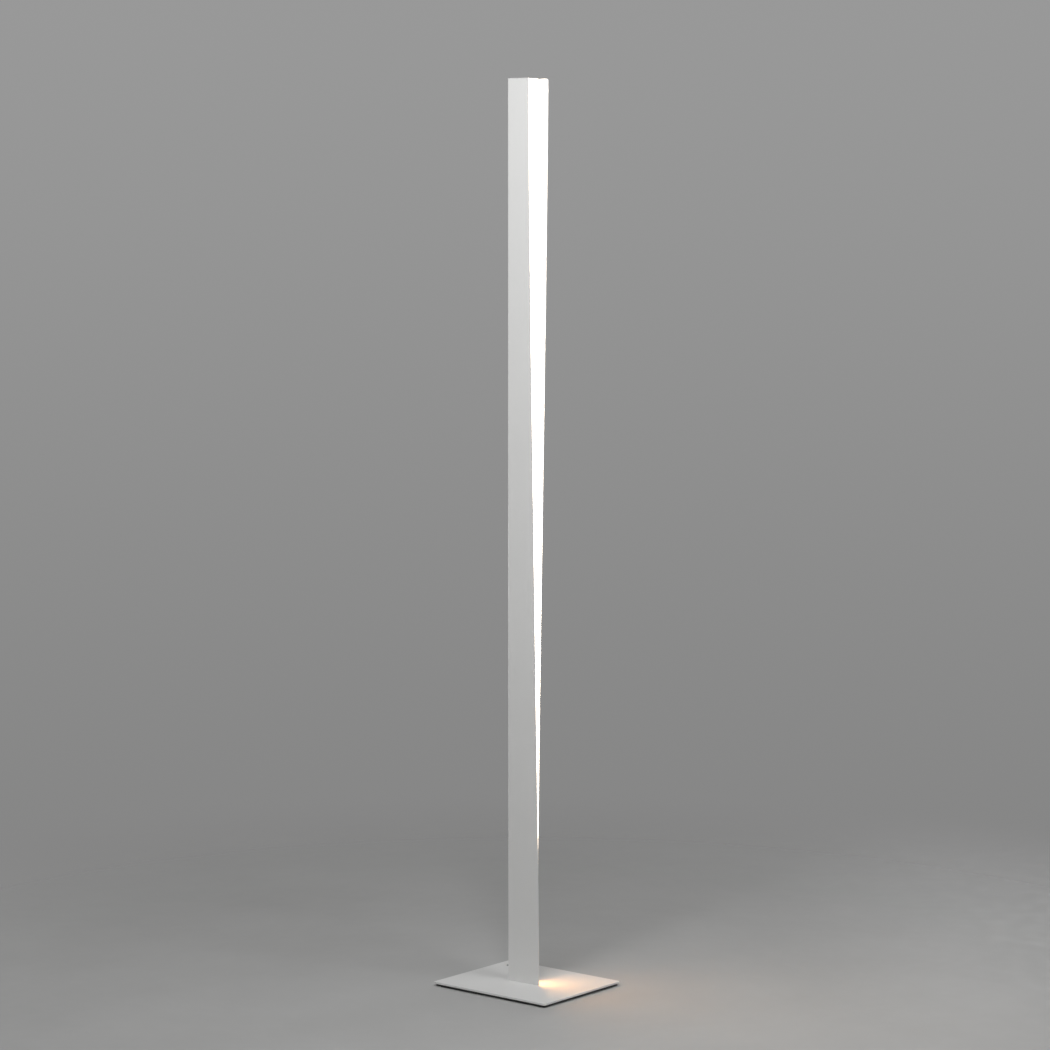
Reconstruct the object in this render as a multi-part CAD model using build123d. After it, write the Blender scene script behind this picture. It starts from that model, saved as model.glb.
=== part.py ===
from build123d import *
import os
from math import radians, tan

# LED floor lamp, in millimetres. X runs right along the front face, Y to the rear and Z up.
# The origin is on the floor under the middle of the base.

# Whole lamp
LAMP_HEIGHT = 1750.0

# Base: a painted plate over a smaller ballast plate that stands on rubber strips
BASE_LENGTH = 278.0
BASE_DEPTH = 233.0
BASE_THICKNESS = 4.0
BASE_CORNER = 4.0
BASE_EDGE_ROUND = 0.6
BALLAST_THICKNESS = 4.0
BALLAST_SETBACK = 3.0
BALLAST_CORNER = 3.0
PAD_LENGTH = 90.0
PAD_WIDTH = 9.0
PAD_THICKNESS = 1.5
PAD_SETBACK = 2.0
PAD_END_SETBACK = 11.0

# Body shell: folded sheet with a front flange, a left wall and a rear flange
# Each ease is the slope of a flange's edge at that end, as a share of the straight line's slope
COLUMN_LEFT = -35.6
SHELL_DEPTH = 28.5
SHELL_WIDE = 77.2
SHELL_NARROW = 50.5
SHEET = 1.5
BEND_INNER = 0.6
TIP_RADIUS = 3.0
EASE_AT_WIDE = 0.64
EASE_AT_NARROW = 0.45

# Top cap over the box part of the column
CAP_THICKNESS = 1.6
CAP_EDGE_ROUND = 0.4

# LED rail: extrusion with a channel for the LEDs and two screw ports behind its web
RAIL_GAP = 0.1
RAIL_WALL = 1.5
RAIL_WEB = 2.5
RAIL_BACK = 8.0
CHANNEL_DEPTH = 10.0
PORT_RADIUS = 2.8
PORT_OVERLAP = 0.6
SNAP_OFFSET = 4.5
SNAP_WIDTH = 1.6
SNAP_DEPTH = 0.6

# Diffuser: snapped between the legs of the rail, just inside the narrow edge of the shell
DIFFUSER_SETBACK = 0.5
DIFFUSER_FACE = 1.8
DIFFUSER_WALL = 1.2
DIFFUSER_LEG = 7.0
DIFFUSER_GAP = 0.1
DIFFUSER_END_GAP = 0.5
DIFFUSER_EDGE_ROUND = 0.4
SNAP_PLAY = 0.2

# LED boards, end to end up the rail, with a link across each joint
BOARD_COUNT = 4
BOARD_WIDTH = 14.0
BOARD_THICKNESS = 1.6
BOARD_MARGIN = 10.0
BOARD_JOINT = 12.0
LED_PITCH = 14.0
LED_SIZE = 3.0
LED_HEIGHT = 0.8
LINK_WIDTH = 8.0
LINK_HEIGHT = 3.0
LINK_LAP = 3.0

# Foot block inside the shell
BLOCK_WIDTH = 21.0
BLOCK_HEIGHT = 50.0
BLOCK_GAP = 0.1
BLOCK_CHAMFER = 1.0

# Driver, its posts and the terminal block
DRIVER_LENGTH = 220.0
DRIVER_WIDTH = 20.0
DRIVER_DEPTH = 21.0
DRIVER_ROUND = 1.0
EAR_LENGTH = 12.0
EAR_WIDTH = 12.0
EAR_THICKNESS = 2.0
POST_RADIUS = 3.5
POST_LENGTH = 9.6
TERMINAL_WIDTH = 9.0
TERMINAL_DEPTH = 14.0
TERMINAL_HEIGHT = 24.0
TERMINAL_POLES = 3
TERMINAL_SCREW_WELL = 2.2
TERMINAL_WELL_DEPTH = 3.0
TERMINAL_DROP = 32.0
FEED_RISE = 27.0

# Leads inside the lamp and the way in for the supply cord
LEAD_RADIUS = 1.1
LEAD_GAP = 0.1
LEAD_STUB = 10.0
LEAD_TURN = 12.0
LEAD_UPTURN = 4.0
LEAD_OFFSET = 1.7
LEAD_GROOVE = 3.6
LEAD_HOLE_GAP = 0.8
LEAD_ARC_SHARE = 0.45
CABLE_GROOVE = 6.0
GROOVE_FLOOR = 0.8
CABLE_HOLE = 4.0
GROMMET_WIDTH = 10.0
GROMMET_DEPTH = 10.0
GROMMET_FIT = 0.1
COLLAR_WIDTH = 14.0
COLLAR_THICKNESS = 2.0
CABLE_BORE = 1.5

# Dimmer button, placed from the left and rear edges of the base
BUTTON_FROM_LEFT = 28.5
BUTTON_FROM_REAR = 40.5
BUTTON_RADIUS = 3.0
BUTTON_STANDS = 2.2
BUTTON_CROWN = 0.6
BUTTON_TRAVEL = 1.0
BUTTON_RUNNING_GAP = 0.05
BUTTON_FLANGE = 0.7
BUTTON_FLANGE_RADIUS = 4.4
FLANGE_PLAY = 0.3
BUTTON_SLACK = 0.1
BUSH_RADIUS = 6.0
BUSH_LIP = 1.2
BUSH_FIT = 0.05
BUSH_COLLAR = 0.8
BUSH_COLLAR_RADIUS = 8.0

# Dimmer electronics in a window of the ballast plate, over a service cover
DIMMER_LENGTH = 22.0
DIMMER_WIDTH = 22.0
DIMMER_BOARD = 0.8
WINDOW_GAP = 1.0
COVER_THICKNESS = 0.6
COVER_LIP = 5.0
COVER_GAP = 0.1
SWITCH_SIDE = 4.5
SWITCH_BODY = 1.6
PLUNGER_RADIUS = 1.2
DOME_FOOT = 4.8
DOME_HEAD = 3.8
DOME_WALL = 0.6

# Screws: shank radius, head radius and reach past the last face they pass
SCREW_FIT = 0.05
FOOT_BOLT_SHANK = 3.0
FOOT_BOLT_HEAD = 6.0
FOOT_BOLT_REACH = 16.0
FOOT_BOLT_SPACING = 13.2
LOCK_SCREW_SHANK = 2.0
LOCK_SCREW_HEAD = 3.4
LOCK_SCREW_REACH = 8.0
LOCK_SCREW_HEIGHTS = (28.0, 41.0)
PORT_SCREW_SHANK = 1.2
PORT_SCREW_HEAD = 2.4
PORT_SCREW_REACH = 12.0
SHELL_SCREW_SHANK = 1.2
SHELL_SCREW_HEAD = 2.6
SHELL_SCREW_OFFSET = 1.6
SHELL_SCREW_COUNT = 5
SHELL_SCREW_MARGIN = 75.0
BALLAST_SCREW_SHANK = 2.0
BALLAST_SCREW_HEAD = 4.0
BALLAST_SCREW_REACH = 1.8
BALLAST_SCREW_END_SETBACK = 60.0
BALLAST_SCREW_SIDE_SETBACK = 18.0
COVER_SCREW_SHANK = 0.8
COVER_SCREW_HEAD = 1.4
COVER_SCREW_REACH = 2.0
PAN_SCREW_SHANK = 1.2
PAN_SCREW_HEAD = 2.6
PAN_SCREW_HEAD_HEIGHT = 1.6
PAN_SCREW_REACH = 6.0
SOCKET_SHARE = 0.7

# Levels
ballast_z = PAD_THICKNESS
plate_z = ballast_z + BALLAST_THICKNESS
floor_z = plate_z + BASE_THICKNESS
cap_z = LAMP_HEIGHT - CAP_THICKNESS
column_length = cap_z - floor_z
block_top_z = floor_z + BLOCK_HEIGHT

# LED boards up the rail, and the driver under the first joint between them
board_length = (column_length - 2 * BOARD_MARGIN - (BOARD_COUNT - 1) * BOARD_JOINT) / BOARD_COUNT
board_starts = [floor_z + BOARD_MARGIN + index * (board_length + BOARD_JOINT)
                for index in range(BOARD_COUNT)]
joint_heights = [start - BOARD_JOINT / 2 for start in board_starts[1:]]
led_count = int(board_length // LED_PITCH)
first_led = (board_length - (led_count - 1) * LED_PITCH) / 2
board_screw_heights = (first_led + LED_PITCH / 2, board_length - first_led - LED_PITCH / 2)
feed_z = joint_heights[0]
driver_top_z = feed_z - FEED_RISE
driver_z = driver_top_z - DRIVER_LENGTH
terminal_top_z = driver_z - TERMINAL_DROP
terminal_z = terminal_top_z - TERMINAL_HEIGHT

# Places across the column, counted from its left face
face_x = SHELL_NARROW - DIFFUSER_SETBACK
skin_x = face_x - DIFFUSER_FACE
lip_x = skin_x - DIFFUSER_GAP
seat_x = lip_x - CHANNEL_DEPTH
web_x = seat_x - RAIL_WEB
tail_x = web_x - RAIL_BACK
board_x = seat_x + BOARD_THICKNESS
port_x = web_x - PORT_RADIUS + PORT_OVERLAP
block_x = SHEET + BLOCK_GAP
block_mid_x = block_x + BLOCK_WIDTH / 2
ear_x = web_x - POST_LENGTH
driver_mid_x = ear_x - DRIVER_WIDTH / 2
cable_x = web_x - TERMINAL_DEPTH / 2
lead_x = cable_x - LEAD_OFFSET
shell_screw_x = seat_x + SHELL_SCREW_OFFSET

# Places through the column, counted from its front face
middle_y = SHELL_DEPTH / 2
rail_y = SHEET + RAIL_GAP
leg_y = rail_y + RAIL_WALL
port_y = leg_y + PORT_RADIUS - PORT_OVERLAP

# Places on the base
ballast_length = BASE_LENGTH - 2 * BALLAST_SETBACK
ballast_depth = BASE_DEPTH - 2 * BALLAST_SETBACK
button_x = BUTTON_FROM_LEFT - BASE_LENGTH / 2
button_y = BASE_DEPTH / 2 - BUTTON_FROM_REAR
groove_z = ballast_z + GROOVE_FLOOR
lead_z = groove_z + LEAD_RADIUS + LEAD_GAP
inner_cover_z = ballast_z + COVER_THICKNESS
dimmer_top_z = inner_cover_z + DIMMER_BOARD
flange_top_z = floor_z - BUSH_LIP - BUTTON_SLACK
flange_z = flange_top_z - BUTTON_FLANGE
plunger_z = flange_z - BUTTON_TRAVEL - BUTTON_SLACK

# The column's own frame: its front left corner, at floor level
COLUMN = Pos(COLUMN_LEFT, -middle_y, 0)

# Ways that a screw drawn along +Z can point
DOWN = Rot(180, 0, 0)
FORWARD = Rot(90, 0, 0)
LEFT = Rot(0, -90, 0)
RIGHT = Rot(0, 90, 0)
STANDING = (Align.CENTER, Align.CENTER, Align.MIN)


def box(low, high):
    """Block between two opposite corners."""
    size = [top - bottom for bottom, top in zip(low, high)]
    return Pos(*low) * Box(*size, align=(Align.MIN, Align.MIN, Align.MIN))


def slab(length, depth, bottom, top, corner):
    """Flat plate about the lamp's axis with rounded corners."""
    plate = Pos(0, 0, bottom) * Box(length, depth, top - bottom, align=STANDING)
    return fillet(plate.edges().filter_by(Axis.Z), corner)


def rod(radius, bottom, top):
    """Upright cylinder on the Z axis."""
    return Pos(0, 0, bottom) * Cylinder(radius, top - bottom, align=STANDING)


def group(pieces):
    """Separate solids that share one node."""
    return Compound([piece.solid() for piece in pieces])


def both_sides(y):
    """A place through the column and its mirror image."""
    return (y, SHELL_DEPTH - y)


def spread(count, low, high):
    """Evenly spaced places from low to high."""
    return [low + (high - low) * index / (count - 1) for index in range(count)]


def spin(points):
    """Solid turned about Z from a half outline of radius and height."""
    return revolve(make_face(Plane.XZ * Polyline(*points, close=True)), Axis.Z)


def flat_screw(shank, head, length):
    """Countersunk screw along +Z, from its head face at zero to its tip, with a hex socket."""
    cone = head - shank
    body = spin([(0, 0), (head, 0), (shank, cone), (shank, length), (0, length)])
    return body - extrude(RegularPolygon(shank * SOCKET_SHARE, 6), cone * SOCKET_SHARE)


def flat_screw_hole(shank, head, length):
    """Space that a countersunk screw needs, open beyond its head face."""
    wide = head + SCREW_FIT
    narrow = shank + SCREW_FIT
    end = length + SCREW_FIT
    cone = wide - narrow
    return spin([(0, -head), (wide, -head), (wide, 0), (narrow, cone), (narrow, end), (0, end)])


def pan_screw(length):
    """Pan head screw along +Z: its head lies below zero and its shank runs to its tip."""
    head = rod(PAN_SCREW_HEAD, -PAN_SCREW_HEAD_HEIGHT, 0)
    head = fillet(head.edges().sort_by(Axis.Z)[0], PAN_SCREW_HEAD_HEIGHT / 2)
    socket = extrude(RegularPolygon(PAN_SCREW_SHANK * SOCKET_SHARE, 6), PAN_SCREW_HEAD_HEIGHT / 2)
    return head + rod(PAN_SCREW_SHANK, 0, length) - Pos(0, 0, -PAN_SCREW_HEAD_HEIGHT) * socket


def pan_screw_hole(length):
    """Space that the shank of a pan head screw needs."""
    return rod(PAN_SCREW_SHANK + SCREW_FIT, -SCREW_FIT, length + SCREW_FIT)


def lead(name, points, radii):
    """Round insulated lead along straight runs joined by tangent arcs."""
    path = FilletPolyline(*points, radius=radii)
    start = Plane(origin=path @ 0, z_dir=path % 0)
    tube = sweep(start * Circle(LEAD_RADIUS), path=path)
    section = Circle(LEAD_RADIUS).area
    print(name, "radii", [round(radius, 2) for radius in radii],
          "volume over section times length", round(tube.volume / (section * path.length), 4))
    return tube


def widest_radius(before, corner, after):
    """Largest arc radius that leaves both runs of a corner some straight length."""
    first = Vector(*before) - Vector(*corner)
    second = Vector(*after) - Vector(*corner)
    turn = 180 - first.get_angle(second)
    return LEAD_ARC_SHARE * min(first.length, second.length) / tan(radians(turn / 2))


# Screw places
foot_bolt_places = [COLUMN * Pos(block_mid_x, middle_y + side * FOOT_BOLT_SPACING / 2, ballast_z)
                    for side in (-1, 1)]
rail_screw_places = [COLUMN * Pos(port_x, y, ballast_z) for y in both_sides(port_y)]
cap_screw_places = [COLUMN * Pos(port_x, y, LAMP_HEIGHT) * DOWN for y in both_sides(port_y)]
lock_screw_places = [COLUMN * Pos(block_mid_x, SHELL_DEPTH, floor_z + height) * FORWARD
                     for height in LOCK_SCREW_HEIGHTS]
shell_screw_heights = spread(SHELL_SCREW_COUNT, floor_z + SHELL_SCREW_MARGIN, cap_z - SHELL_SCREW_MARGIN)
shell_screw_places = [COLUMN * Pos(shell_screw_x, SHELL_DEPTH, z) * FORWARD for z in shell_screw_heights]
ballast_screw_places = [Pos(x * (ballast_length / 2 - BALLAST_SCREW_END_SETBACK),
                            y * (ballast_depth / 2 - BALLAST_SCREW_SIDE_SETBACK), ballast_z)
                        for x in (-1, 1) for y in (-1, 1)]
cover_screw_y = DIMMER_WIDTH / 2 + WINDOW_GAP + COVER_LIP / 2
cover_screw_places = [Pos(button_x, button_y + side * cover_screw_y, ballast_z) for side in (-1, 1)]
board_screw_places = [COLUMN * Pos(board_x, middle_y, start + height) * LEFT
                      for start in board_starts for height in board_screw_heights]
ear_heights = (driver_z - EAR_LENGTH / 2, driver_top_z + EAR_LENGTH / 2)
driver_screw_places = [COLUMN * Pos(ear_x - EAR_THICKNESS, middle_y, z) * RIGHT for z in ear_heights]

# Screw lengths, from head face to tip
foot_bolt_length = BALLAST_THICKNESS + BASE_THICKNESS + FOOT_BOLT_REACH
rail_screw_length = BALLAST_THICKNESS + BASE_THICKNESS + PORT_SCREW_REACH
cap_screw_length = CAP_THICKNESS + PORT_SCREW_REACH
lock_screw_length = SHEET + BLOCK_GAP + LOCK_SCREW_REACH
shell_screw_length = SHEET + RAIL_GAP + RAIL_WALL
ballast_screw_length = BALLAST_THICKNESS + BALLAST_SCREW_REACH
cover_screw_length = COVER_THICKNESS + COVER_SCREW_REACH
board_screw_length = BOARD_THICKNESS + RAIL_WEB
driver_screw_length = EAR_THICKNESS + PAN_SCREW_REACH

# Routes of the leads
dimmer_route = [(button_x + DIMMER_LENGTH / 2, button_y, lead_z),
                (COLUMN_LEFT + lead_x, button_y, lead_z),
                (COLUMN_LEFT + lead_x, 0, lead_z),
                (COLUMN_LEFT + lead_x, 0, terminal_z)]
driver_route = [(cable_x, middle_y, terminal_top_z),
                (cable_x, middle_y, terminal_top_z + LEAD_STUB),
                (driver_mid_x, middle_y, driver_z - LEAD_STUB),
                (driver_mid_x, middle_y, driver_z)]
feed_route = [(driver_mid_x, middle_y, driver_top_z),
              (driver_mid_x, middle_y, feed_z),
              (board_x, middle_y, feed_z)]


def make_base_plate():
    """Painted steel plate with holes for the column's fixings, the leads and the button bush."""
    plate = slab(BASE_LENGTH, BASE_DEPTH, plate_z, floor_z, BASE_CORNER)
    rims = plate.faces().sort_by(Axis.Z)[-1].edges() + plate.faces().sort_by(Axis.Z)[0].edges()
    plate = fillet(rims, BASE_EDGE_ROUND)
    plate -= COLUMN * Pos(cable_x, middle_y, 0) * rod(CABLE_HOLE, plate_z, floor_z)
    plate -= Pos(button_x, button_y, 0) * rod(BUSH_RADIUS + BUSH_FIT, plate_z, floor_z)
    for place in foot_bolt_places:
        plate -= place * flat_screw_hole(FOOT_BOLT_SHANK, FOOT_BOLT_HEAD, foot_bolt_length)
    for place in rail_screw_places:
        plate -= place * flat_screw_hole(PORT_SCREW_SHANK, PORT_SCREW_HEAD, rail_screw_length)
    for place in ballast_screw_places:
        plate -= place * flat_screw_hole(BALLAST_SCREW_SHANK, BALLAST_SCREW_HEAD, ballast_screw_length)
    return plate


def make_ballast_plate():
    """Black steel plate with the dimmer's window, the cable grooves and the countersinks."""
    plate = slab(ballast_length, ballast_depth, ballast_z, plate_z, BALLAST_CORNER)
    window_x = DIMMER_LENGTH / 2 + WINDOW_GAP
    window_y = DIMMER_WIDTH / 2 + WINDOW_GAP
    plate -= box((button_x - window_x, button_y - window_y, ballast_z),
                 (button_x + window_x, button_y + window_y, plate_z))
    rebate_x = window_x + COVER_LIP + COVER_GAP
    rebate_y = window_y + COVER_LIP + COVER_GAP
    plate -= box((button_x - rebate_x, button_y - rebate_y, ballast_z),
                 (button_x + rebate_x, button_y + rebate_y, inner_cover_z))
    notch_y = ballast_depth / 2 - GROMMET_DEPTH - GROMMET_FIT
    groove_x = COLUMN_LEFT + cable_x
    plate -= box((groove_x - CABLE_GROOVE / 2, -CABLE_HOLE, groove_z),
                 (groove_x + CABLE_GROOVE / 2, notch_y, plate_z))
    notch_x = GROMMET_WIDTH / 2 + GROMMET_FIT
    plate -= box((groove_x - notch_x, notch_y, ballast_z),
                 (groove_x + notch_x, ballast_depth / 2, plate_z))
    branch = FilletPolyline(*[(x, y) for x, y, z in dimmer_route[:3]], radius=LEAD_TURN)
    plate -= Pos(0, 0, groove_z) * extrude(trace(branch, LEAD_GROOVE), plate_z - groove_z)
    for place in foot_bolt_places:
        plate -= place * flat_screw_hole(FOOT_BOLT_SHANK, FOOT_BOLT_HEAD, foot_bolt_length)
    for place in rail_screw_places:
        plate -= place * flat_screw_hole(PORT_SCREW_SHANK, PORT_SCREW_HEAD, rail_screw_length)
    for place in ballast_screw_places:
        plate -= place * flat_screw_hole(BALLAST_SCREW_SHANK, BALLAST_SCREW_HEAD, ballast_screw_length)
    for place in cover_screw_places:
        plate -= place * flat_screw_hole(COVER_SCREW_SHANK, COVER_SCREW_HEAD, cover_screw_length)
    return plate


def make_floor_pads():
    """Four rubber strips along the front and rear of the ballast plate."""
    x = ballast_length / 2 - PAD_END_SETBACK - PAD_LENGTH / 2
    y = ballast_depth / 2 - PAD_SETBACK - PAD_WIDTH / 2
    strip = Box(PAD_LENGTH, PAD_WIDTH, PAD_THICKNESS, align=STANDING)
    return group([Pos(side * x, end * y, 0) * strip for side in (-1, 1) for end in (-1, 1)])


def make_cable_grommet():
    """Rubber grommet in the rear edge of the ballast plate, with a round bore for the supply cord."""
    rear_y = ballast_depth / 2
    middle_z = (ballast_z + plate_z) / 2
    outer_y = rear_y + COLLAR_THICKNESS
    body = box((-GROMMET_WIDTH / 2, rear_y - GROMMET_DEPTH, ballast_z), (GROMMET_WIDTH / 2, rear_y, plate_z))
    body += box((-COLLAR_WIDTH / 2, rear_y, ballast_z), (COLLAR_WIDTH / 2, outer_y, plate_z))
    bore = Pos(0, outer_y, middle_z) * FORWARD * rod(CABLE_BORE, 0, GROMMET_DEPTH + COLLAR_THICKNESS)
    return Pos(COLUMN_LEFT + cable_x, 0, 0) * (body - bore)


def make_flange(foot_width, head_width):
    """Flat flange from the foot to the head, its right edge easing from one width to the other."""
    third = column_length / 3
    lean = (head_width - foot_width) / 3
    wide_at_foot = foot_width > head_width
    foot_lean = lean * (EASE_AT_WIDE if wide_at_foot else EASE_AT_NARROW)
    head_lean = lean * (EASE_AT_NARROW if wide_at_foot else EASE_AT_WIDE)
    edge = Bezier((foot_width, 0, floor_z), (foot_width + foot_lean, 0, floor_z + third),
                  (head_width - head_lean, 0, cap_z - third), (head_width, 0, cap_z))
    rest = Polyline((head_width, 0, cap_z), (0, 0, cap_z), (0, 0, floor_z), (foot_width, 0, floor_z))
    flange = extrude(make_face(edge + rest), SHEET, dir=(0, 1, 0))
    tip_z = floor_z if wide_at_foot else cap_z
    tip = flange.edges().filter_by(Axis.Y).sort_by_distance((SHELL_WIDE, SHEET / 2, tip_z))[0]
    return fillet(tip, TIP_RADIUS)


def make_body_shell():
    """Folded sheet: the front flange widens downwards and the rear flange widens upwards."""
    shell = box((0, 0, floor_z), (SHEET, SHELL_DEPTH, cap_z))
    shell += make_flange(SHELL_WIDE, SHELL_NARROW)
    shell += Pos(0, SHELL_DEPTH - SHEET, 0) * make_flange(SHELL_NARROW, SHELL_WIDE)
    uprights = shell.edges().filter_by(Axis.Z).sort_by(Axis.X)
    shell = fillet(uprights[:2], BEND_INNER + SHEET)
    inner = shell.edges().filter_by(Axis.Z).filter_by_position(Axis.X, SHEET - SCREW_FIT, SHEET + SCREW_FIT)
    shell = COLUMN * fillet(inner, BEND_INNER)
    for place in shell_screw_places:
        shell -= place * flat_screw_hole(SHELL_SCREW_SHANK, SHELL_SCREW_HEAD, shell_screw_length)
    for place in lock_screw_places:
        shell -= place * flat_screw_hole(LOCK_SCREW_SHANK, LOCK_SCREW_HEAD, lock_screw_length)
    return shell


def make_top_cap():
    """Plate over the shell, the rail and the diffuser; the rear flange runs past it."""
    cap = box((0, 0, cap_z), (SHELL_NARROW, SHELL_DEPTH, LAMP_HEIGHT))
    cap = fillet(cap.edges().filter_by(Axis.Z).sort_by(Axis.X)[:2], BEND_INNER + SHEET)
    cap = COLUMN * fillet(cap.faces().sort_by(Axis.Z)[-1].edges(), CAP_EDGE_ROUND)
    for place in cap_screw_places:
        cap -= place * flat_screw_hole(PORT_SCREW_SHANK, PORT_SCREW_HEAD, cap_screw_length)
    return cap


def make_led_rail():
    """Aluminium extrusion: web, four legs, two screw ports and the grooves of the snap fit."""
    rail = box((web_x, rail_y, floor_z), (seat_x, SHELL_DEPTH - rail_y, cap_z))
    rail += box((tail_x, rail_y, floor_z), (lip_x, leg_y, cap_z))
    rail += box((tail_x, SHELL_DEPTH - leg_y, floor_z), (lip_x, SHELL_DEPTH - rail_y, cap_z))
    for y in both_sides(port_y):
        rail += Pos(port_x, y, 0) * rod(PORT_RADIUS, floor_z, cap_z)
    for y in both_sides(port_y):
        rail -= Pos(port_x, y, 0) * rod(PORT_SCREW_SHANK + SCREW_FIT, floor_z, cap_z)
    snap_x = seat_x + SNAP_OFFSET
    rail -= box((snap_x, leg_y - SNAP_DEPTH, floor_z),
                (snap_x + SNAP_WIDTH, SHELL_DEPTH - leg_y + SNAP_DEPTH, cap_z))
    rail = COLUMN * rail
    rail -= COLUMN * Pos(web_x, middle_y, feed_z) * RIGHT * rod(LEAD_RADIUS + LEAD_HOLE_GAP, 0, RAIL_WEB)
    for place in board_screw_places:
        rail -= place * pan_screw_hole(board_screw_length)
    for place in shell_screw_places:
        rail -= place * flat_screw_hole(SHELL_SCREW_SHANK, SHELL_SCREW_HEAD, shell_screw_length)
    return rail


def make_diffuser():
    """Opal strip with two legs whose beads snap into the rail."""
    low = floor_z + DIFFUSER_END_GAP
    high = cap_z - DIFFUSER_END_GAP
    face_y = SHEET + DIFFUSER_GAP
    strip = box((skin_x, face_y, low), (face_x, SHELL_DEPTH - face_y, high))
    outer = strip.edges().filter_by(Axis.Z).sort_by(Axis.X)[-2:]
    strip = fillet(outer, DIFFUSER_EDGE_ROUND)
    wall_y = leg_y + DIFFUSER_GAP
    bead_y = leg_y - SNAP_DEPTH + SNAP_PLAY
    bead_x = seat_x + SNAP_OFFSET + SNAP_PLAY
    bead_end_x = seat_x + SNAP_OFFSET + SNAP_WIDTH - SNAP_PLAY
    half = box((skin_x - DIFFUSER_LEG, wall_y, low), (skin_x, wall_y + DIFFUSER_WALL, high))
    half += box((bead_x, bead_y, low), (bead_end_x, wall_y, high))
    strip += half
    strip += mirror(half, Plane.XZ.offset(-middle_y))
    return COLUMN * strip


def make_led_board(start):
    """One circuit board on the web of the rail."""
    board = COLUMN * box((seat_x, middle_y - BOARD_WIDTH / 2, start),
                         (board_x, middle_y + BOARD_WIDTH / 2, start + board_length))
    for place in board_screw_places:
        board -= place * pan_screw_hole(board_screw_length)
    return board


def make_led_row(start):
    """The LEDs of one board."""
    led = Box(LED_HEIGHT, LED_SIZE, LED_SIZE, align=(Align.MIN, Align.CENTER, Align.CENTER))
    return group([COLUMN * Pos(board_x, middle_y, start + first_led + index * LED_PITCH) * led
                  for index in range(led_count)])


def make_board_links():
    """Connectors that bridge the joints between boards."""
    link_length = BOARD_JOINT + 2 * LINK_LAP
    link = Box(LINK_HEIGHT, LINK_WIDTH, link_length, align=(Align.MIN, Align.CENTER, Align.CENTER))
    return group([COLUMN * Pos(board_x, middle_y, z) * link for z in joint_heights])


def make_foot_block():
    """Aluminium block that the shell slides over, bolted to the base from below."""
    block = box((block_x, block_x, floor_z), (block_x + BLOCK_WIDTH, SHELL_DEPTH - block_x, block_top_z))
    corners = block.edges().filter_by(Axis.Z) + block.faces().sort_by(Axis.Z)[-1].edges()
    block = COLUMN * chamfer(corners, BLOCK_CHAMFER)
    for place in foot_bolt_places:
        block -= place * flat_screw_hole(FOOT_BOLT_SHANK, FOOT_BOLT_HEAD, foot_bolt_length)
    for place in lock_screw_places:
        block -= place * flat_screw_hole(LOCK_SCREW_SHANK, LOCK_SCREW_HEAD, lock_screw_length)
    return block


def make_led_driver():
    """Slim driver case with a fixing ear at each end."""
    case = box((ear_x - DRIVER_WIDTH, middle_y - DRIVER_DEPTH / 2, driver_z),
               (ear_x, middle_y + DRIVER_DEPTH / 2, driver_top_z))
    case = fillet(case.edges().filter_by(Axis.Z), DRIVER_ROUND)
    case += box((ear_x - EAR_THICKNESS, middle_y - EAR_WIDTH / 2, driver_z - EAR_LENGTH),
                (ear_x, middle_y + EAR_WIDTH / 2, driver_top_z + EAR_LENGTH))
    case = COLUMN * case
    for place in driver_screw_places:
        case -= place * pan_screw_hole(driver_screw_length)
    return case


def make_driver_posts():
    """Tapped posts between the web of the rail and the driver's ears."""
    posts = []
    for z, place in zip(ear_heights, driver_screw_places):
        post = COLUMN * Pos(ear_x, middle_y, z) * RIGHT * rod(POST_RADIUS, 0, POST_LENGTH)
        posts.append(post - place * pan_screw_hole(driver_screw_length))
    return group(posts)


def make_terminal_block():
    """Terminal block on the web of the rail, with a screw well for each pole."""
    block = box((web_x - TERMINAL_DEPTH, middle_y - TERMINAL_WIDTH / 2, terminal_z),
                (web_x, middle_y + TERMINAL_WIDTH / 2, terminal_top_z))
    pitch = TERMINAL_HEIGHT / TERMINAL_POLES
    for pole in range(TERMINAL_POLES):
        well = Pos(web_x - TERMINAL_DEPTH, middle_y, terminal_z + (pole + 0.5) * pitch) * RIGHT
        block -= well * rod(TERMINAL_SCREW_WELL, 0, TERMINAL_WELL_DEPTH)
    return COLUMN * block


def make_dimmer_button():
    """Round push button with the flange that keeps it under the bush."""
    top_z = floor_z + BUTTON_STANDS
    button = rod(BUTTON_RADIUS, flange_z, top_z)
    button = fillet(button.edges().sort_by(Axis.Z)[-1], BUTTON_CROWN)
    return Pos(button_x, button_y, 0) * (button + rod(BUTTON_FLANGE_RADIUS, flange_z, flange_top_z))


def make_button_bush():
    """Flush bush that guides the button, with a collar under the base plate."""
    low = plate_z - BUSH_COLLAR
    lip_z = floor_z - BUSH_LIP
    bush = rod(BUSH_RADIUS, low, floor_z) + rod(BUSH_COLLAR_RADIUS, low, plate_z)
    bush -= rod(BUTTON_RADIUS + BUTTON_RUNNING_GAP, low, floor_z)
    bush -= rod(BUTTON_FLANGE_RADIUS + FLANGE_PLAY, low, lip_z)
    return Pos(button_x, button_y, 0) * bush


def make_return_dome():
    """Silicone cone that pushes the button back up."""
    top_z = flange_z - BUTTON_SLACK
    dome = spin([(DOME_FOOT, dimmer_top_z), (DOME_HEAD, top_z), (DOME_HEAD - DOME_WALL, top_z),
                 (DOME_FOOT - DOME_WALL, dimmer_top_z)])
    return Pos(button_x, button_y, 0) * dome


def make_dimmer_switch():
    """Low push switch on the dimmer board."""
    body = Pos(0, 0, dimmer_top_z) * Box(SWITCH_SIDE, SWITCH_SIDE, SWITCH_BODY, align=STANDING)
    return Pos(button_x, button_y, 0) * (body + rod(PLUNGER_RADIUS, dimmer_top_z, plunger_z))


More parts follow.
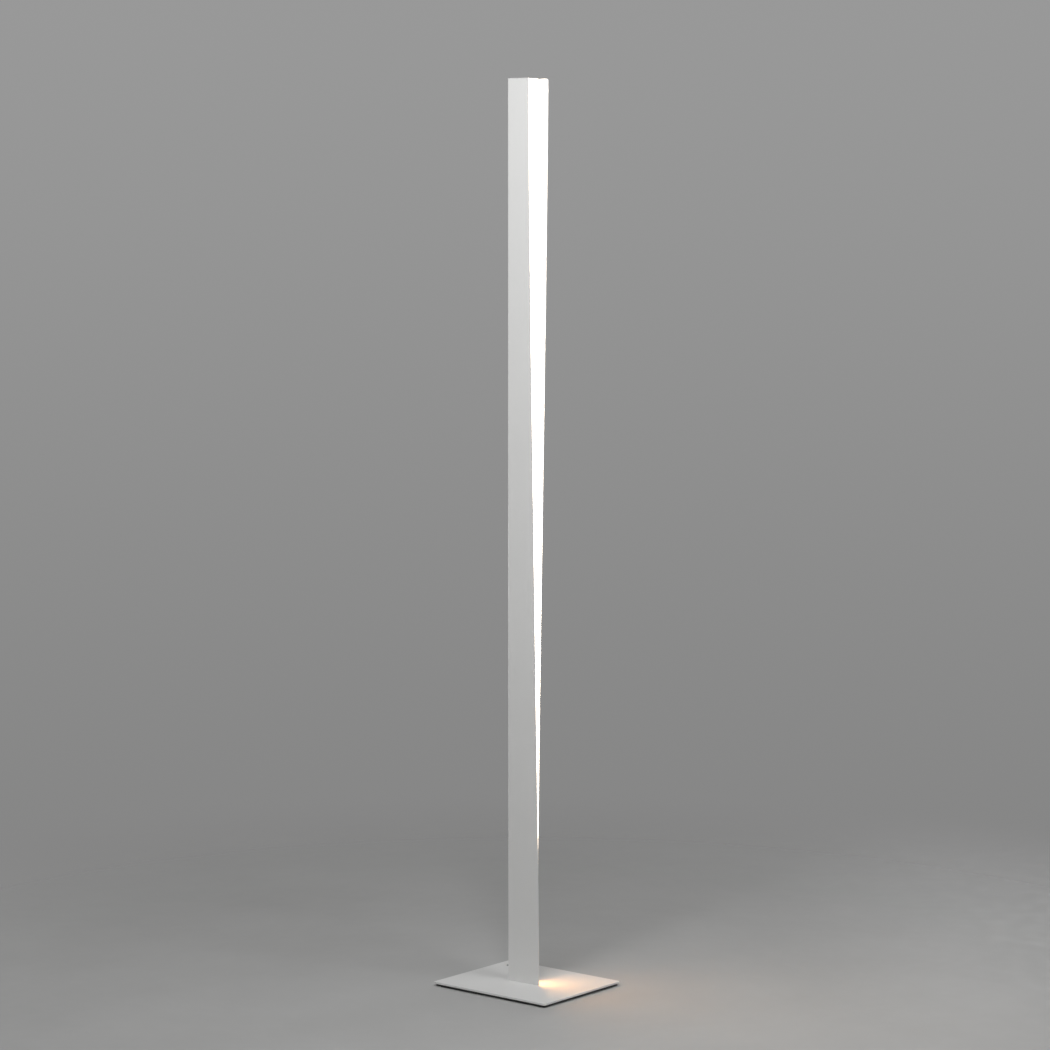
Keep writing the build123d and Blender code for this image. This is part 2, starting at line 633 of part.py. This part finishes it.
def make_dimmer_board():
    """Circuit board that lies on the service cover."""
    board = Box(DIMMER_LENGTH, DIMMER_WIDTH, DIMMER_BOARD, align=STANDING)
    return Pos(button_x, button_y, inner_cover_z) * board


def make_board_cover():
    """Service cover in the rebate under the ballast plate."""
    length = DIMMER_LENGTH + 2 * (WINDOW_GAP + COVER_LIP)
    width = DIMMER_WIDTH + 2 * (WINDOW_GAP + COVER_LIP)
    cover = Pos(button_x, button_y, ballast_z) * Box(length, width, COVER_THICKNESS, align=STANDING)
    for place in cover_screw_places:
        cover -= place * flat_screw_hole(COVER_SCREW_SHANK, COVER_SCREW_HEAD, cover_screw_length)
    return cover


def make_leads():
    """The three leads inside the lamp."""
    return {
        "dimmer_lead": lead("dimmer_lead", dimmer_route, [LEAD_TURN, LEAD_UPTURN]),
        "driver_lead": COLUMN * lead("driver_lead", driver_route,
                                     [widest_radius(*driver_route[:3]), widest_radius(*driver_route[1:])]),
        "led_lead": COLUMN * lead("led_lead", feed_route, [widest_radius(*feed_route)]),
    }


def make_screws():
    """Each set of identical screws as one node."""
    foot_bolt = flat_screw(FOOT_BOLT_SHANK, FOOT_BOLT_HEAD, foot_bolt_length)
    rail_screw = flat_screw(PORT_SCREW_SHANK, PORT_SCREW_HEAD, rail_screw_length)
    cap_screw = flat_screw(PORT_SCREW_SHANK, PORT_SCREW_HEAD, cap_screw_length)
    lock_screw = flat_screw(LOCK_SCREW_SHANK, LOCK_SCREW_HEAD, lock_screw_length)
    shell_screw = flat_screw(SHELL_SCREW_SHANK, SHELL_SCREW_HEAD, shell_screw_length)
    ballast_screw = flat_screw(BALLAST_SCREW_SHANK, BALLAST_SCREW_HEAD, ballast_screw_length)
    cover_screw = flat_screw(COVER_SCREW_SHANK, COVER_SCREW_HEAD, cover_screw_length)
    return {
        "foot_bolts": group([place * foot_bolt for place in foot_bolt_places]),
        "rail_screws": group([place * rail_screw for place in rail_screw_places]),
        "cap_screws": group([place * cap_screw for place in cap_screw_places]),
        "lock_screws": group([place * lock_screw for place in lock_screw_places]),
        "shell_screws": group([place * shell_screw for place in shell_screw_places]),
        "ballast_screws": group([place * ballast_screw for place in ballast_screw_places]),
        "cover_screws": group([place * cover_screw for place in cover_screw_places]),
        "board_screws": group([place * pan_screw(board_screw_length) for place in board_screw_places]),
        "driver_screws": group([place * pan_screw(driver_screw_length) for place in driver_screw_places]),
    }


nodes = {
    "base_plate": make_base_plate(),
    "ballast_plate": make_ballast_plate(),
    "floor_pads": make_floor_pads(),
    "cable_grommet": make_cable_grommet(),
    "foot_block": make_foot_block(),
    "body_shell": make_body_shell(),
    "top_cap": make_top_cap(),
    "led_rail": make_led_rail(),
    "diffuser": make_diffuser(),
    "board_links": make_board_links(),
    "led_driver": make_led_driver(),
    "driver_posts": make_driver_posts(),
    "terminal_block": make_terminal_block(),
    "dimmer_button": make_dimmer_button(),
    "button_bush": make_button_bush(),
    "return_dome": make_return_dome(),
    "dimmer_switch": make_dimmer_switch(),
    "dimmer_board": make_dimmer_board(),
    "board_cover": make_board_cover(),
}
for number, start in enumerate(board_starts, 1):
    nodes[f"led_board_{number}"] = make_led_board(start)
    nodes[f"led_row_{number}"] = make_led_row(start)
nodes.update(make_leads())
nodes.update(make_screws())

os.makedirs("parts", exist_ok=True)
for name, shape in nodes.items():
    export_step(shape, f"parts/{name}.step")
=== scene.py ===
from math import cos, pi, radians, sin

import bpy
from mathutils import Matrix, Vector


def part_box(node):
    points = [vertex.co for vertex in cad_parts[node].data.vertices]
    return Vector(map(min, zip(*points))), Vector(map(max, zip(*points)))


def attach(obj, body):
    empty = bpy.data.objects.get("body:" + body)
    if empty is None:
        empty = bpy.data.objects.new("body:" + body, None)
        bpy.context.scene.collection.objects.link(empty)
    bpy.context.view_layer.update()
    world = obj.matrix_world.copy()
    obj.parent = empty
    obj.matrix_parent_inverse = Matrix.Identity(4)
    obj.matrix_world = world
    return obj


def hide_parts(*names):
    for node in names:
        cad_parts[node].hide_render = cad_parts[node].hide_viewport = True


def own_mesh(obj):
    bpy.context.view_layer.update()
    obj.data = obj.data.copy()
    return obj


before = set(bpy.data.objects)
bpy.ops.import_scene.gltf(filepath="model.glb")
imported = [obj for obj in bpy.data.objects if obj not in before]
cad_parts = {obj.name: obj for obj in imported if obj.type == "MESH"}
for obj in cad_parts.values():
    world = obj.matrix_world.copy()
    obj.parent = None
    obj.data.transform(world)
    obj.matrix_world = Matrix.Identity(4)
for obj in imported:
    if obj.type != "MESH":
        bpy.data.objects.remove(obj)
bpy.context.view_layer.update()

# Camera, in metres and degrees
CAMERA_PLACE = (3.87889, -4.72461, 1.50992)
CAMERA_PITCH = 5.689
CAMERA_YAW = 39.419
CAMERA_LENS = 109.88
CAMERA_SENSOR = 36.0

# Light that the diffuser gives, as a multiple of paper white
GLOW = 14.4

# Its colour up to one height above the floor and from another height on, in metres
GLOW_AT_FOOT = (1.0, 0.47, 0.15, 1.0)
GLOW_ABOVE = (0.84, 0.71, 0.57, 1.0)
GLOW_FOOT_END = 0.12
GLOW_ABOVE_START = 0.34

# Share of it that is lost at the diffuser's edges, and where across the half width that begins
GLOW_EDGE_SHARE = 0.12
GLOW_EDGE_START = 0.3

# Shares of that loss between two LEDs and in the haze of the opal
GLOW_BEADS = 0.06
GLOW_HAZE = 0.05

# LEDs behind the diffuser
LED_SIZE = 0.003
LEDS_ON_BOARD = 30

# Silicone dome under the button, in metres
DOME_LEAN = 0.0010
DOME_WALL = 0.0006
DOME_BULGE = 0.00012
DOME_LIP = 0.00016
DOME_STEPS = 8
DOME_SIDES = 72

# World light, and the backdrop's tones with the heights of sight at which they are reached
WORLD_LIGHT = 0.03
BACKDROP_LOW = (0.235, 0.235, 0.234, 1.0)
BACKDROP_HIGH = (0.32, 0.32, 0.32, 1.0)
BACKDROP_LOW_AT = -0.24
BACKDROP_HIGH_AT = 0.10

# Floor, in metres
FLOOR_TONES = ((0.485, 0.485, 0.48, 1.0), (0.515, 0.515, 0.51, 1.0))
FLOOR_SIZE = 24.0
FLOOR_FADE_START = 0.6
FLOOR_FADE_END = 2.1
FLOOR_RELIEF = 0.00001

# Softboxes: name, place, target, width and height in metres, and power in watts
SOFTBOXES = (
    ("key", (0.9, -1.7, 2.3), (0.0, 0.0, 1.8), 1.3, 1.3, 44.6),
    ("side", (1.7, -0.1, 2.5), (0.0, 0.0, 0.3), 1.0, 1.0, 19.4),
    ("back", (-0.3, 4.6, 0.32), (0.0, 0.0, 0.9), 3.4, 0.5, 126.0),
    ("left", (-4.3, 0.7, 0.32), (0.0, 0.0, 0.9), 2.3, 0.5, 86.0),
)

# Range that most of a noise texture's values lie in
NOISE_LOW = 0.3
NOISE_HIGH = 0.7

# Sockets of the colour mix node
MIX_SHARE = 0
MIX_FIRST = 6
MIX_SECOND = 7
MIX_RESULT = 2

BEVEL_SAMPLES = 4
BLACK = (0.0, 0.0, 0.0, 1.0)
WHITE = (1.0, 1.0, 1.0, 1.0)

scene = bpy.context.scene
scene.view_settings.view_transform = "Standard"


class Finish:
    """A node material under construction, with shorthands for the nodes that it needs."""

    def __init__(self, name):
        self.material = bpy.data.materials.new(name)
        self.material.use_nodes = True
        self.tree = self.material.node_tree
        self.tree.nodes.clear()
        self.output = self.add("ShaderNodeOutputMaterial")
        self.shader = self.add("ShaderNodeBsdfPrincipled")
        self.link(self.shader.outputs[0], self.output.inputs["Surface"])
        self.place = self.add("ShaderNodeTexCoord").outputs["Object"]

    def add(self, kind, **values):
        """Adds a node and sets its properties."""
        node = self.tree.nodes.new(kind)
        for name, value in values.items():
            setattr(node, name, value)
        return node

    def link(self, source, target):
        """Joins an output to an input."""
        self.tree.links.new(source, target)

    def set(self, **values):
        """Sets constants on the shader's own sockets."""
        for name, value in values.items():
            self.shader.inputs[name.replace("_", " ")].default_value = value

    def feed(self, name, source):
        """Joins an output to a socket of the shader."""
        self.link(source, self.shader.inputs[name])

    def stretched(self, scale):
        """Coordinates scaled apart along X, Y and Z."""
        node = self.add("ShaderNodeMapping")
        node.inputs["Scale"].default_value = scale
        self.link(self.place, node.inputs["Vector"])
        return node.outputs[0]

    def noise(self, scale, detail=3.0, roughness=0.55, vector=None):
        """Noise texture in the object's coordinates, or in others if they are given."""
        node = self.add("ShaderNodeTexNoise")
        node.inputs["Scale"].default_value = scale
        node.inputs["Detail"].default_value = detail
        node.inputs["Roughness"].default_value = roughness
        self.link(vector or self.place, node.inputs["Vector"])
        return node.outputs["Fac"]

    def span(self, source, low, high, to_low, to_high, smooth=False):
        """Maps a range of values onto another range."""
        node = self.add("ShaderNodeMapRange")
        node.interpolation_type = "SMOOTHSTEP" if smooth else "LINEAR"
        node.inputs["From Min"].default_value = low
        node.inputs["From Max"].default_value = high
        node.inputs["To Min"].default_value = to_low
        node.inputs["To Max"].default_value = to_high
        self.link(source, node.inputs["Value"])
        return node.outputs[0]

    def vary(self, noise, low, high):
        """Maps a noise texture onto a range of values."""
        return self.span(noise, NOISE_LOW, NOISE_HIGH, low, high)

    def math(self, operation, first, second=0.0):
        """Result of one sum, of numbers or outputs."""
        node = self.add("ShaderNodeMath", operation=operation)
        for socket, value in zip(node.inputs, (first, second)):
            if isinstance(value, (int, float)):
                socket.default_value = value
            else:
                self.link(value, socket)
        return node.outputs[0]

    def tones(self, source, low, high, start=0.35, end=0.65):
        """Colour between two tones as a value goes from start to end."""
        node = self.add("ShaderNodeValToRGB")
        first, last = node.color_ramp.elements
        first.position, first.color = start, low
        last.position, last.color = end, high
        self.link(source, node.inputs["Fac"])
        return node.outputs["Color"]

    def blend(self, share, first, second):
        """Mixes two colours by a share."""
        node = self.add("ShaderNodeMix", data_type="RGBA")
        for spot, value in ((MIX_SHARE, share), (MIX_FIRST, first), (MIX_SECOND, second)):
            if isinstance(value, (int, float, tuple)):
                node.inputs[spot].default_value = value
            else:
                self.link(value, node.inputs[spot])
        return node.outputs[MIX_RESULT]

    def relief(self, height, depth, under=None):
        """Surface relief of a depth in metres, over another normal if one is given."""
        node = self.add("ShaderNodeBump")
        node.inputs["Strength"].default_value = 1.0
        node.inputs["Distance"].default_value = depth
        self.link(height, node.inputs["Height"])
        if under:
            self.link(under, node.inputs["Normal"])
        return node.outputs[0]

    def soft_edges(self, radius):
        """Normal that rounds the edges of the mesh."""
        node = self.add("ShaderNodeBevel", samples=BEVEL_SAMPLES)
        node.inputs["Radius"].default_value = radius
        return node.outputs[0]


def grey(level, warmth=0.0):
    """A near-neutral colour."""
    return (level, level, level * (1.0 - warmth), 1.0)


def powder_coat(name, level, spread, roughness, peel_scale, peel_depth, edge):
    """Powder paint: orange peel, fine speckle and slow changes of tone and gloss."""
    finish = Finish(name)
    clouds = finish.noise(scale=5.0, detail=4.0)
    speckle = finish.noise(scale=2600.0, detail=2.0)
    light = grey(level + spread, warmth=0.012)
    base = finish.tones(clouds, grey(level - spread, warmth=0.012), light)
    dark = grey(level - 2.5 * spread, warmth=0.014)
    specks = finish.tones(speckle, dark, grey(level + spread, warmth=0.01), start=0.25, end=0.75)
    finish.feed("Base Color", finish.blend(0.35, base, specks))
    gloss = finish.noise(scale=45.0, detail=4.0)
    finish.feed("Roughness", finish.vary(gloss, roughness - 0.05, roughness + 0.05))
    peel = finish.noise(peel_scale, detail=2.0, roughness=0.4)
    grit = finish.noise(peel_scale * 3.5, detail=2.0, roughness=0.5)
    normal = finish.relief(peel, peel_depth, finish.soft_edges(edge))
    finish.feed("Normal", finish.relief(grit, peel_depth / 4, normal))
    finish.set(Specular_IOR_Level=0.45)
    return finish.material


def grained_plastic(name, low, high, roughness, grain_scale, grain_depth):
    """Moulded plastic with a fine spark-eroded grain and slight flow marks."""
    finish = Finish(name)
    stretch = finish.stretched((60.0, 60.0, 18.0))
    flow = finish.noise(scale=1.0, roughness=0.6, vector=stretch)
    finish.feed("Base Color", finish.tones(flow, low, high, NOISE_LOW, NOISE_HIGH))
    gloss = finish.noise(scale=220.0)
    finish.feed("Roughness", finish.vary(gloss, roughness - 0.06, roughness + 0.06))
    grain = finish.noise(grain_scale, roughness=0.6)
    finish.feed("Normal", finish.relief(grain, grain_depth, finish.soft_edges(0.0002)))
    return finish.material


def rubber(name, level):
    """Matte rubber with fine pits and a little dust."""
    finish = Finish(name)
    dust = finish.noise(scale=900.0, detail=4.0, roughness=0.7)
    clouds = finish.noise(scale=40.0, detail=4.0)
    base = finish.tones(clouds, grey(level * 0.8), grey(level * 1.25))
    dusted = finish.span(dust, 0.62, 0.8, 0.0, 0.5)
    finish.feed("Base Color", finish.blend(dusted, base, grey(level * 3.0)))
    finish.feed("Roughness", finish.vary(finish.noise(scale=120.0), 0.78, 0.94))
    pits = finish.noise(scale=2200.0, roughness=0.6)
    finish.feed("Normal", finish.relief(pits, 0.00003))
    finish.set(Specular_IOR_Level=0.35)
    return finish.material


def drawn_metal(name, low, high, stretch, roughness, scratch_depth):
    """Bare metal with fine lines along the way that it was drawn or machined."""
    finish = Finish(name)
    lines = finish.noise(scale=1.0, detail=5.0, roughness=0.65, vector=finish.stretched(stretch))
    blotches = finish.vary(finish.noise(scale=35.0), 0.0, 0.25)
    base = finish.tones(lines, low, high, NOISE_LOW, NOISE_HIGH)
    finish.feed("Base Color", finish.blend(blotches, base, low))
    gloss = finish.span(lines, 0.25, 0.75, roughness + 0.08, roughness - 0.06)
    finish.feed("Roughness", gloss)
    finish.feed("Normal", finish.relief(lines, scratch_depth, finish.soft_edges(0.00015)))
    finish.set(Metallic=1.0)
    return finish.material


def solder_mask(name, low, high, track_pitch, roughness):
    """Circuit board: lacquer over tracks that show as a faint change of tone and height."""
    finish = Finish(name)
    tracks = finish.add("ShaderNodeTexBrick")
    tracks.inputs["Scale"].default_value = 1.0 / track_pitch
    tracks.inputs["Mortar Size"].default_value = 0.09
    tracks.inputs["Color1"].default_value = high
    tracks.inputs["Color2"].default_value = high
    tracks.inputs["Mortar"].default_value = low
    finish.link(finish.place, tracks.inputs["Vector"])
    tint = finish.vary(finish.noise(scale=150.0), 0.0, 0.3)
    finish.feed("Base Color", finish.blend(tint, tracks.outputs["Color"], low))
    gloss = finish.noise(scale=300.0)
    finish.feed("Roughness", finish.vary(gloss, roughness - 0.05, roughness + 0.08))
    finish.feed("Normal", finish.relief(tracks.outputs["Fac"], 0.00003))
    return finish.material


def opal_light(name):
    """Lit opal strip: brightest along its middle, with a trace of the LEDs behind it."""
    finish = Finish(name)
    half_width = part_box("diffuser")[1].y
    first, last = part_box("led_row_1")
    led_pitch = (last.z - first.z - LED_SIZE) / (LEDS_ON_BOARD - 1)
    parts = finish.add("ShaderNodeSeparateXYZ")
    finish.link(finish.place, parts.inputs[0])
    height = parts.outputs["Z"]
    across = finish.math("ABSOLUTE", parts.outputs["Y"])
    wave = finish.math("COSINE", finish.math("MULTIPLY", height, 2 * pi / led_pitch))
    beads = finish.span(wave, -1.0, 1.0, 0.0, GLOW_BEADS)
    haze = finish.vary(finish.noise(scale=90.0), 0.0, GLOW_HAZE)
    edge_start = GLOW_EDGE_START * half_width
    fall = finish.span(across, edge_start, half_width, 0.0, 1.0, smooth=True)
    share = finish.math("ADD", finish.math("ADD", fall, beads), haze)
    rise = finish.span(height, GLOW_FOOT_END, GLOW_ABOVE_START, 0.0, 1.0, smooth=True)
    colour = finish.blend(rise, GLOW_AT_FOOT, GLOW_ABOVE)
    dim = finish.math("MULTIPLY", share, GLOW_EDGE_SHARE)
    finish.feed("Emission Color", finish.blend(dim, colour, BLACK))
    clouds = finish.noise(scale=60.0)
    base = finish.tones(clouds, (0.90, 0.88, 0.84, 1.0), (0.94, 0.92, 0.88, 1.0))
    finish.feed("Base Color", base)
    finish.feed("Roughness", finish.vary(finish.noise(scale=400.0), 0.38, 0.5))
    finish.feed("Normal", finish.relief(finish.noise(scale=1800.0, detail=2.0), 0.00001))
    finish.set(Emission_Strength=GLOW)
    return finish.material


def phosphor(name):
    """Yellow phosphor in its package, lit."""
    finish = Finish(name)
    grains = finish.noise(scale=5000.0, detail=2.0)
    base = finish.tones(grains, (0.78, 0.53, 0.08, 1.0), (0.92, 0.70, 0.18, 1.0))
    light = finish.tones(grains, (0.95, 0.78, 0.55, 1.0), (1.0, 0.90, 0.72, 1.0))
    finish.feed("Base Color", base)
    finish.feed("Emission Color", light)
    finish.feed("Roughness", finish.vary(grains, 0.3, 0.45))
    finish.set(Emission_Strength=GLOW)
    finish.material.cycles.emission_sampling = "NONE"
    return finish.material


def clear_silicone(name):
    """Milky silicone."""
    finish = Finish(name)
    clouds = finish.noise(scale=300.0)
    finish.feed("Base Color", finish.tones(clouds, grey(0.50), grey(0.60)))
    finish.feed("Roughness", finish.vary(finish.noise(scale=500.0), 0.42, 0.58))
    finish.feed("Normal", finish.relief(finish.noise(scale=2500.0), 0.00001))
    finish.set(Subsurface_Weight=0.3, Subsurface_Scale=0.001)
    return finish.material


finishes = {
    "white_paint": powder_coat(
        "white_powder_coat", level=0.80, spread=0.012, roughness=0.50,
        peel_scale=700.0, peel_depth=0.00008, edge=0.0004,
    ),
    "white_screws": powder_coat(
        "white_lacquer", level=0.75, spread=0.012, roughness=0.42,
        peel_scale=1500.0, peel_depth=0.000015, edge=0.0002,
    ),
    "black_paint": powder_coat(
        "black_powder_coat", level=0.022, spread=0.004, roughness=0.58,
        peel_scale=700.0, peel_depth=0.00005, edge=0.0003,
    ),
    "black_rubber": rubber("black_rubber", level=0.022),
    "bare_aluminium": drawn_metal(
        "drawn_aluminium", grey(0.66), grey(0.78),
        stretch=(900.0, 900.0, 5.0), roughness=0.34, scratch_depth=0.000006,
    ),
    "opal_diffuser": opal_light("lit_opal"),
    "white_plastic": grained_plastic(
        "white_nylon", grey(0.74, 0.05), grey(0.81, 0.04),
        roughness=0.46, grain_scale=1400.0, grain_depth=0.00002,
    ),
    "driver_case": grained_plastic(
        "pale_polycarbonate", grey(0.66), grey(0.73),
        roughness=0.5, grain_scale=1200.0, grain_depth=0.00003,
    ),
    "black_plastic": grained_plastic(
        "black_grained", grey(0.021), grey(0.03),
        roughness=0.44, grain_scale=1600.0, grain_depth=0.000025,
    ),
    "grey_plastic": grained_plastic(
        "grey_grained", grey(0.36), grey(0.41),
        roughness=0.46, grain_scale=1600.0, grain_depth=0.00002,
    ),
    "bush_plastic": grained_plastic(
        "white_acetal", grey(0.71, 0.01), grey(0.77, 0.01),
        roughness=0.4, grain_scale=2000.0, grain_depth=0.00001,
    ),
    "silicone": clear_silicone("milky_silicone"),
    "green_board": solder_mask(
        "green_mask", (0.022, 0.13, 0.055, 1.0), (0.034, 0.18, 0.08, 1.0),
        track_pitch=0.004, roughness=0.3,
    ),
    "white_board": solder_mask(
        "white_mask", grey(0.76, 0.02), grey(0.84, 0.02), track_pitch=0.006, roughness=0.34,
    ),
    "led_phosphor": phosphor("lit_phosphor"),
    "lead_insulation": grained_plastic(
        "grey_insulation", grey(0.55, 0.03), grey(0.64, 0.03),
        roughness=0.5, grain_scale=900.0, grain_depth=0.00001,
    ),
    "fastener_steel": drawn_metal(
        "zinc_plate", grey(0.48), grey(0.62),
        stretch=(700.0, 700.0, 700.0), roughness=0.33, scratch_depth=0.000004,
    ),
}
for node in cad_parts.values():
    for slot in node.material_slots:
        slot.material = finishes[slot.material.name]


def dome_profile(foot, low_z, high_z):
    """Closed outline of the dome's wall, as pairs of radius and height."""
    outside = []
    for step in range(DOME_STEPS + 1):
        share = step / DOME_STEPS
        radius = foot - DOME_LEAN * share + DOME_BULGE * sin(pi * share)
        outside.append((radius, low_z + (high_z - low_z - DOME_LIP) * share))
    inside = [(radius - DOME_WALL, level) for radius, level in reversed(outside)]
    head = foot - DOME_LEAN
    lip = [(head - DOME_LIP, high_z), (head - DOME_WALL + DOME_LIP, high_z)]
    return outside + lip + inside


def make_dome():
    """Silicone dome that returns the button."""
    low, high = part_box("return_dome")
    centre = (low + high) / 2
    profile = dome_profile((high.x - low.x) / 2, low.z, high.z)
    count = len(profile)
    points = []
    faces = []
    for side in range(DOME_SIDES):
        angle = 2 * pi * side / DOME_SIDES
        for radius, level in profile:
            points.append((centre.x + radius * cos(angle), centre.y + radius * sin(angle), level))
        here = side * count
        after = (side + 1) % DOME_SIDES * count
        for spot in range(count):
            above = (spot + 1) % count
            faces.append((here + spot, after + spot, after + above, here + above))
    mesh = bpy.data.meshes.new("soft_dome")
    mesh.from_pydata(points, [], faces)
    mesh.polygons.foreach_set("use_smooth", [True] * len(faces))
    mesh.materials.append(finishes["silicone"])
    dome = bpy.data.objects.new("soft_dome", mesh)
    scene.collection.objects.link(dome)
    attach(dome, "lamp")
    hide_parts("return_dome")
    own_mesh(dome)


def make_floor():
    """Pale floor that fades into the backdrop away from the lamp."""
    half = FLOOR_SIZE / 2
    corners = [(-half, -half, 0), (half, -half, 0), (half, half, 0), (-half, half, 0)]
    mesh = bpy.data.meshes.new("studio_floor")
    mesh.from_pydata(corners, [], [(0, 1, 2, 3)])
    floor = bpy.data.objects.new("studio_floor", mesh)
    scene.collection.objects.link(floor)
    finish = Finish("studio_floor")
    clouds = finish.noise(scale=3.0, detail=5.0)
    finish.feed("Base Color", finish.tones(clouds, *FLOOR_TONES))
    gloss = finish.noise(scale=25.0, detail=4.0)
    finish.feed("Roughness", finish.vary(gloss, 0.62, 0.72))
    finish.feed("Normal", finish.relief(finish.noise(scale=420.0), FLOOR_RELIEF))
    finish.set(Specular_IOR_Level=0.3)
    far = finish.add("ShaderNodeVectorMath", operation="LENGTH")
    finish.link(finish.place, far.inputs[0])
    distance = far.outputs["Value"]
    fade = finish.span(distance, FLOOR_FADE_START, FLOOR_FADE_END, 0.0, 1.0, smooth=True)
    rays = finish.add("ShaderNodeLightPath")
    seen = finish.math("MAXIMUM", rays.outputs["Is Camera Ray"], rays.outputs["Is Glossy Ray"])
    seen = finish.math("MAXIMUM", seen, rays.outputs["Is Transmission Ray"])
    mix = finish.add("ShaderNodeMixShader")
    clear = finish.add("ShaderNodeBsdfTransparent")
    finish.link(finish.math("MULTIPLY", fade, seen), mix.inputs[0])
    finish.link(finish.shader.outputs[0], mix.inputs[1])
    finish.link(clear.outputs[0], mix.inputs[2])
    finish.link(mix.outputs[0], finish.output.inputs["Surface"])
    mesh.materials.append(finish.material)


def make_world():
    """Even studio light, with a plain grey backdrop where it is seen."""
    world = bpy.data.worlds.new("studio")
    scene.world = world
    world.use_nodes = True
    tree = world.node_tree
    tree.nodes.clear()

    def add(kind, **values):
        node = tree.nodes.new(kind)
        for name, value in values.items():
            setattr(node, name, value)
        return node

    output = add("ShaderNodeOutputWorld")
    mix = add("ShaderNodeMixShader")
    light = add("ShaderNodeBackground")
    light.inputs["Color"].default_value = WHITE
    light.inputs["Strength"].default_value = WORLD_LIGHT
    backdrop = add("ShaderNodeBackground")
    backdrop.inputs["Strength"].default_value = 1.0
    height = add("ShaderNodeSeparateXYZ")
    rise = add("ShaderNodeMapRange", interpolation_type="SMOOTHSTEP")
    rise.inputs["From Min"].default_value = BACKDROP_LOW_AT
    rise.inputs["From Max"].default_value = BACKDROP_HIGH_AT
    ramp = add("ShaderNodeValToRGB")
    ramp.color_ramp.elements[0].color = BACKDROP_LOW
    ramp.color_ramp.elements[1].color = BACKDROP_HIGH
    rays = add("ShaderNodeLightPath")
    seen = add("ShaderNodeMath", operation="MAXIMUM")
    all_seen = add("ShaderNodeMath", operation="MAXIMUM")
    link = tree.links.new
    link(add("ShaderNodeTexCoord").outputs["Generated"], height.inputs[0])
    link(height.outputs["Z"], rise.inputs["Value"])
    link(rise.outputs[0], ramp.inputs["Fac"])
    link(ramp.outputs["Color"], backdrop.inputs["Color"])
    link(rays.outputs["Is Camera Ray"], seen.inputs[0])
    link(rays.outputs["Is Glossy Ray"], seen.inputs[1])
    link(seen.outputs[0], all_seen.inputs[0])
    link(rays.outputs["Is Transmission Ray"], all_seen.inputs[1])
    link(all_seen.outputs[0], mix.inputs[0])
    link(light.outputs[0], mix.inputs[1])
    link(backdrop.outputs[0], mix.inputs[2])
    link(mix.outputs[0], output.inputs["Surface"])


def make_softbox(name, place, target, wide, tall, power):
    """Softbox aimed at a point."""
    data = bpy.data.lights.new(name, "AREA")
    data.shape = "RECTANGLE"
    data.size = wide
    data.size_y = tall
    data.energy = power
    softbox = bpy.data.objects.new(name, data)
    aim = Vector(target) - Vector(place)
    softbox.location = place
    softbox.rotation_euler = aim.to_track_quat("-Z", "Y").to_euler()
    softbox.visible_camera = False
    scene.collection.objects.link(softbox)


def make_camera():
    """Camera at the photograph's angle."""
    data = bpy.data.cameras.new("camera")
    data.lens = CAMERA_LENS
    data.sensor_width = CAMERA_SENSOR
    camera = bpy.data.objects.new("camera", data)
    camera.location = CAMERA_PLACE
    camera.rotation_euler = (radians(90 - CAMERA_PITCH), 0, radians(CAMERA_YAW))
    scene.collection.objects.link(camera)
    scene.camera = camera


make_dome()
make_floor()
make_world()
for softbox in SOFTBOXES:
    make_softbox(*softbox)
make_camera()
